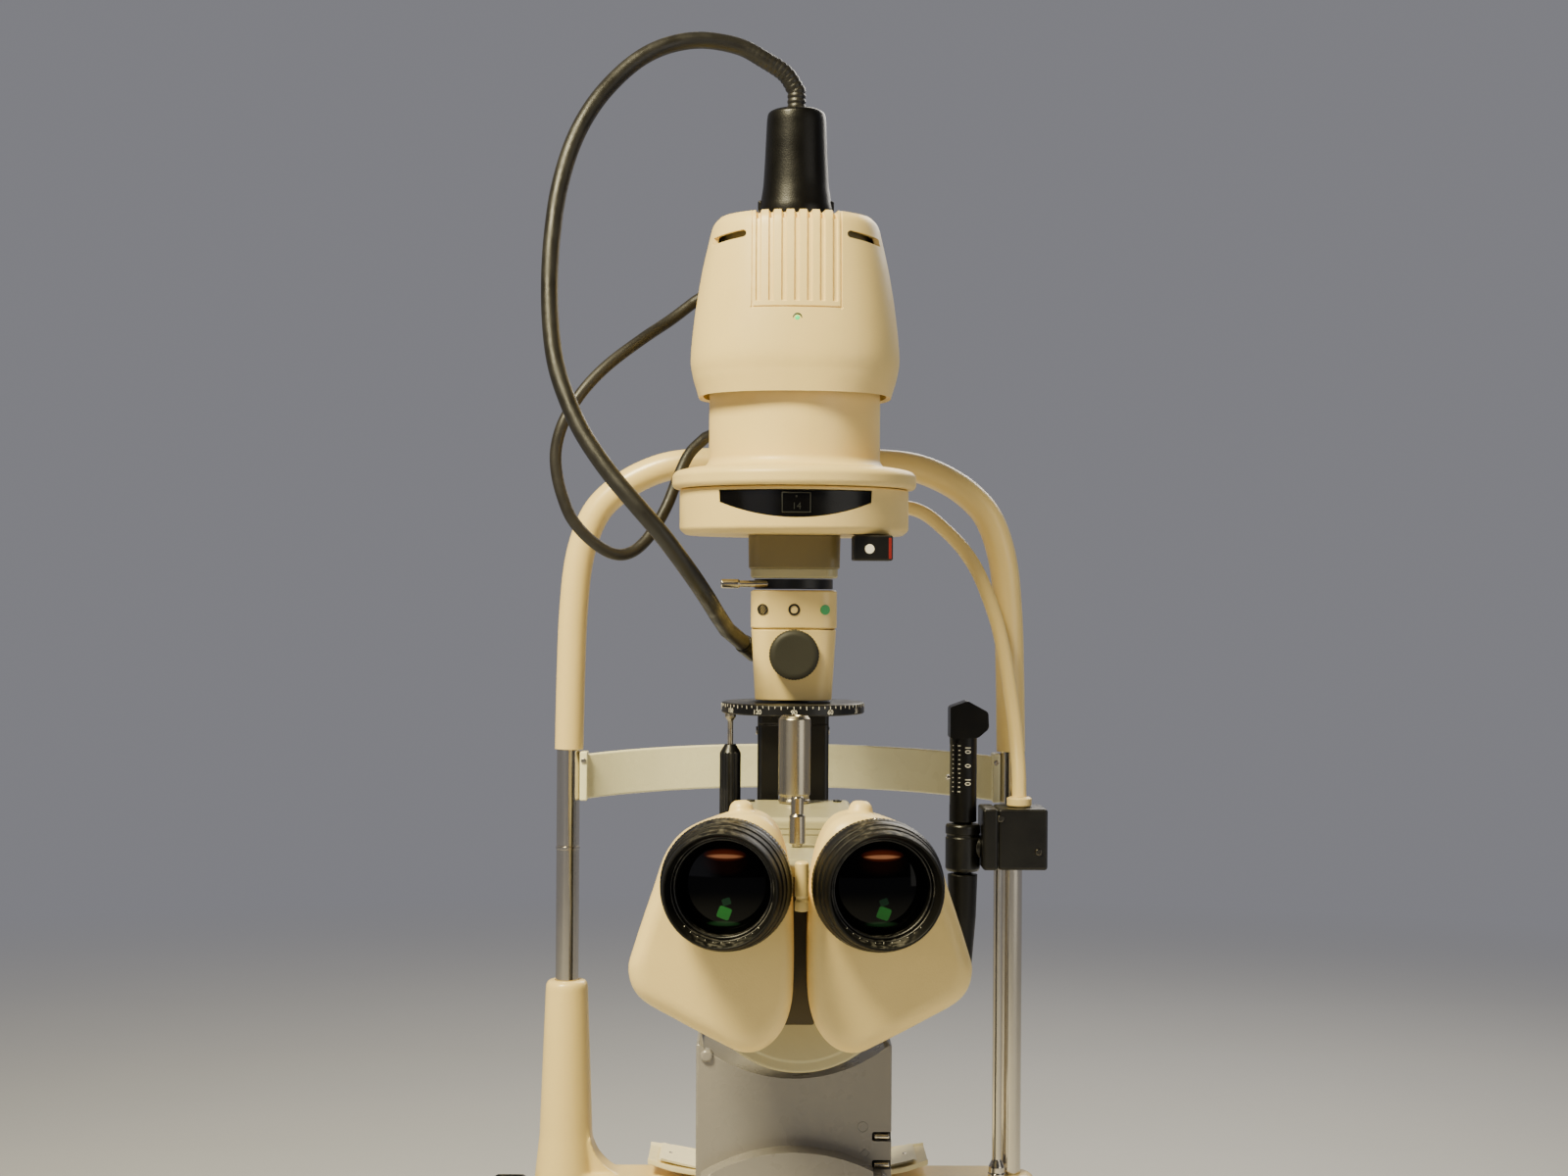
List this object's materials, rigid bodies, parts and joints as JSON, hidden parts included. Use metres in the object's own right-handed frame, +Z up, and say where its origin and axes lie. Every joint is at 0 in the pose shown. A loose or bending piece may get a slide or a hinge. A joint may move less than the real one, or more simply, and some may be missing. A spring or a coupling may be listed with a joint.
{
  "type": "slit lamp",
  "caption": "Table slit lamp with convergent microscope, tilting lamp tower, camera unit, joystick base, headrest, chinrest and fixation target.",
  "frame": {"origin": "middle of the board's underside", "axes": "+Z up, -Y towards the examiner, +Y towards the patient, +X to the examiner's right"},
  "size_m": [0.5, 0.45, 0.8012],
  "materials": {
    "cream_plastic": "fine-textured satin",
    "cream_paint": "satin enamel",
    "shade_cream": "satin enamel",
    "pale_band": "satin",
    "grey_plastic": "metallic gloss",
    "grey_metal": "satin",
    "black_metal": "satin black",
    "black_plastic": "fine-textured matte",
    "cable_jacket": "matte",
    "steel": "turned",
    "chrome": "polished",
    "board": "laminated",
    "lens": "smoked",
    "mirror": "polished",
    "chin_cup": "with a paper liner"
  },
  "bodies": {
    "stand": {"base_board": "board", "rail_left": "steel", "rail_right": "steel", "headrest_frame": "cream_paint", "left_column": "chrome", "right_column": "chrome", "headrest_arch": "cream_paint", "guide_rod": "chrome", "forehead_band": "pale_band", "fixation_bracket": "black_metal"},
    "chin": {"chinrest": "chin_cup"},
    "chin_knob": {"chin_height_knob": "black_plastic"},
    "fixation_arm": {"fixation_arm": "cream_paint"},
    "fixation_box": {"fixation_box": "black_plastic"},
    "target_clamp": {"target_clamp": "black_metal"},
    "target_tube": {"target_tube": "black_plastic"},
    "diopter_pin": {"diopter_pin": "chrome"},
    "cross_slide": {"cross_tube": "steel"},
    "axle": {"wheel_axle": "steel"},
    "base": {"base_casting": "cream_paint"},
    "joystick_x": {"joystick_ball": "steel"},
    "joystick_y": {"joystick_shaft": "steel"},
    "joystick_grip": {"joystick_grip": "black_plastic"},
    "base_lock": {"base_lock_knob": "black_plastic"},
    "brightness": {"brightness_dial": "black_plastic"},
    "lift": {"lift_column": "steel"},
    "scope": {"scope_arm": "grey_metal", "scope_body": "shade_cream", "objective": "black_metal", "tonometer_post": "steel", "light_path_pin": "steel", "tube_lock_screw": "shade_cream", "camera_unit": "grey_plastic"},
    "scope_lock": {"scope_arm_knob": "black_plastic"},
    "lamp_arm": {"illum_arm": "grey_metal"},
    "lamp_lock": {"illum_arm_knob": "black_plastic"},
    "tower": {"mirror_column": "black_metal", "mirror": "mirror", "tower_body": "cream_paint", "filter_housing": "cream_paint", "neck_block": "shade_cream", "turret_housing": "cream_plastic", "turret_window": "lens", "lamp_base_cover": "cream_plastic", "lamp_housing": "cream_plastic", "lamp_module": "grey_metal", "lamp_plug": "black_plastic", "light_guide": "cable_jacket", "lamp_lead": "cable_jacket"},
    "slit_width": {"slit_width_knobs": "black_plastic"},
    "slit_turn": {"slit_scale_ring": "black_metal", "slit_handle": "black_plastic"},
    "centring": {"centring_knob": "black_plastic"},
    "filter_turn": {"filter_lever": "black_metal"},
    "turret_turn": {"turret_lever": "black_plastic"},
    "magnification": {"magnification_knobs": "black_plastic"},
    "prism_left": {"prism_left": "cream_plastic"},
    "prism_right": {"prism_right": "cream_plastic"},
    "eyepiece_left": {"eyepiece_left": "black_metal"},
    "eyepiece_right": {"eyepiece_right": "black_metal"}
  },
  "joints": [
    {"name": "chin_lift", "type": "slide", "parent": "stand", "child": "chin", "axis": [0, 0, 1], "range_m": [0, 0.04]},
    {"name": "chin_knob_turn", "type": "hinge", "parent": "stand", "child": "chin_knob", "pos_m": [-0.1155, 0.17, 0.215], "axis": [1, 0, 0], "range_deg": [0, 362]},
    {"name": "fixation_arm_swing", "type": "hinge", "parent": "stand", "child": "fixation_arm", "pos_m": [0, 0.17, 0.571], "axis": [0, 0, 1], "range_deg": [-25, 0]},
    {"name": "fixation_box_turn", "type": "hinge", "parent": "fixation_arm", "child": "fixation_box", "pos_m": [0.115, 0.131, 0.41], "axis": [0, 0, 1], "range_deg": [-40, 40]},
    {"name": "target_tilt", "type": "hinge", "parent": "fixation_box", "child": "target_clamp", "pos_m": [0.088, 0.131, 0.405], "axis": [1, 0, 0], "range_deg": [-20, 20]},
    {"name": "target_tube_turn", "type": "hinge", "parent": "target_clamp", "child": "target_tube", "pos_m": [0.0866, 0.131, 0.405], "axis": [0, 0, 1], "range_deg": [-45, 45]},
    {"name": "diopter_pin_slide", "type": "slide", "parent": "target_tube", "child": "diopter_pin", "axis": [0, 0, 1], "range_m": [-0.01, 0.012]},
    {"name": "base_fore_aft", "type": "slide", "parent": "stand", "child": "cross_slide", "axis": [0, -1, 0], "range_m": [0, 0.08]},
    {"name": "axle_roll", "type": "hinge", "parent": "cross_slide", "child": "axle", "pos_m": [0, 0.03, 0.0481], "axis": [1, 0, 0], "range_deg": [0, 300]},
    {"name": "base_sideways", "type": "slide", "parent": "cross_slide", "child": "base", "axis": [1, 0, 0], "range_m": [-0.05, 0.05]},
    {"name": "joystick_fore_aft", "type": "hinge", "parent": "base", "child": "joystick_x", "pos_m": [0, -0.125, 0.0365], "axis": [1, 0, 0], "range_deg": [-12, 12]},
    {"name": "joystick_sideways", "type": "hinge", "parent": "joystick_x", "child": "joystick_y", "pos_m": [0, -0.125, 0.0365], "axis": [0, 1, 0], "range_deg": [-12, 12]},
    {"name": "joystick_turn", "type": "hinge", "parent": "joystick_y", "child": "joystick_grip", "pos_m": [0, -0.125, 0.125], "axis": [0, 0, 1], "range_deg": [-185, 185]},
    {"name": "base_lock_turn", "type": "hinge", "parent": "base", "child": "base_lock", "pos_m": [0.076, -0.06, 0.052], "axis": [1, 0, 0], "range_deg": [0, 180]},
    {"name": "brightness_turn", "type": "hinge", "parent": "base", "child": "brightness", "pos_m": [-0.045, -0.11, 0.075], "axis": [0, 0, 1], "range_deg": [0, 270]},
    {"name": "height", "type": "slide", "parent": "base", "child": "lift", "axis": [0, 0, 1], "range_m": [-0.015, 0.015]},
    {"name": "scope_swing", "type": "hinge", "parent": "lift", "child": "scope", "pos_m": [0, 0.17, 0.1148], "axis": [0, 0, 1], "range_deg": [-40, 40]},
    {"name": "scope_lock_turn", "type": "hinge", "parent": "scope", "child": "scope_lock", "pos_m": [0.0265, 0.125, 0.1254], "axis": [1, 0, 0], "range_deg": [0, 180]},
    {"name": "lamp_swing", "type": "hinge", "parent": "lift", "child": "lamp_arm", "pos_m": [0, 0.17, 0.1363], "axis": [0, 0, -1], "range_deg": [-30, 30]},
    {"name": "lamp_lock_turn", "type": "hinge", "parent": "lamp_arm", "child": "lamp_lock", "pos_m": [0.0275, 0.125, 0.148], "axis": [1, 0, 0], "range_deg": [0, 180]},
    {"name": "lamp_tilt", "type": "hinge", "parent": "lamp_arm", "child": "tower", "pos_m": [0, 0.17, 0.385], "axis": [1, 0, 0], "range_deg": [0, 8]},
    {"name": "slit_width_turn", "type": "hinge", "parent": "tower", "child": "slit_width", "pos_m": [0, 0.09, 0.235], "axis": [1, 0, 0], "range_deg": [0, 300]},
    {"name": "slit_rotation", "type": "hinge", "parent": "tower", "child": "slit_turn", "pos_m": [0, 0.09, 0.4747], "axis": [0, 0, -1], "range_deg": [0, 180]},
    {"name": "centring_turn", "type": "hinge", "parent": "tower", "child": "centring", "pos_m": [0, 0.07, 0.5035], "axis": [0, -1, 0], "range_deg": [-180, 180]},
    {"name": "filter_swing", "type": "hinge", "parent": "tower", "child": "filter_turn", "pos_m": [0, 0.09, 0.5345], "axis": [0, 0, 1], "range_deg": [-20, 20]},
    {"name": "turret_swing", "type": "hinge", "parent": "tower", "child": "turret_turn", "pos_m": [0, 0.09, 0.56], "axis": [0, 0, 1], "range_deg": [-15, 15]},
    {"name": "magnification_turn", "type": "hinge", "parent": "scope", "child": "magnification", "pos_m": [0, -0.055, 0.385], "axis": [1, 0, 0], "range_deg": [-60, 60]},
    {"name": "pupil_left", "type": "hinge", "parent": "scope", "child": "prism_left", "pos_m": [-0.018, -0.1078, 0.385], "axis": [0, -1, 0], "range_deg": [-2, 8]},
    {"name": "pupil_right", "type": "hinge", "parent": "scope", "child": "prism_right", "pos_m": [0.018, -0.1078, 0.385], "axis": [0, 1, 0], "range_deg": [-2.1, 8.1]},
    {"name": "dioptre_left", "type": "hinge", "parent": "prism_left", "child": "eyepiece_left", "pos_m": [-0.028, -0.154, 0.425], "axis": [-0.1045, -0.9945, 0], "range_deg": [-90, 90]},
    {"name": "dioptre_right", "type": "hinge", "parent": "prism_right", "child": "eyepiece_right", "pos_m": [0.028, -0.154, 0.425], "axis": [0.1045, -0.9945, 0], "range_deg": [-90, 90]}
  ],
  "couplings": [
    {"joint": "chin_knob_turn", "follows": "chin_lift", "rad_per_m": 157},
    {"joint": "axle_roll", "follows": "base_fore_aft", "rad_per_m": 64.516},
    {"joint": "joystick_turn", "follows": "height", "rad_per_m": 209.44},
    {"joint": "pupil_right", "follows": "pupil_left", "ratio": 1}
  ]
}
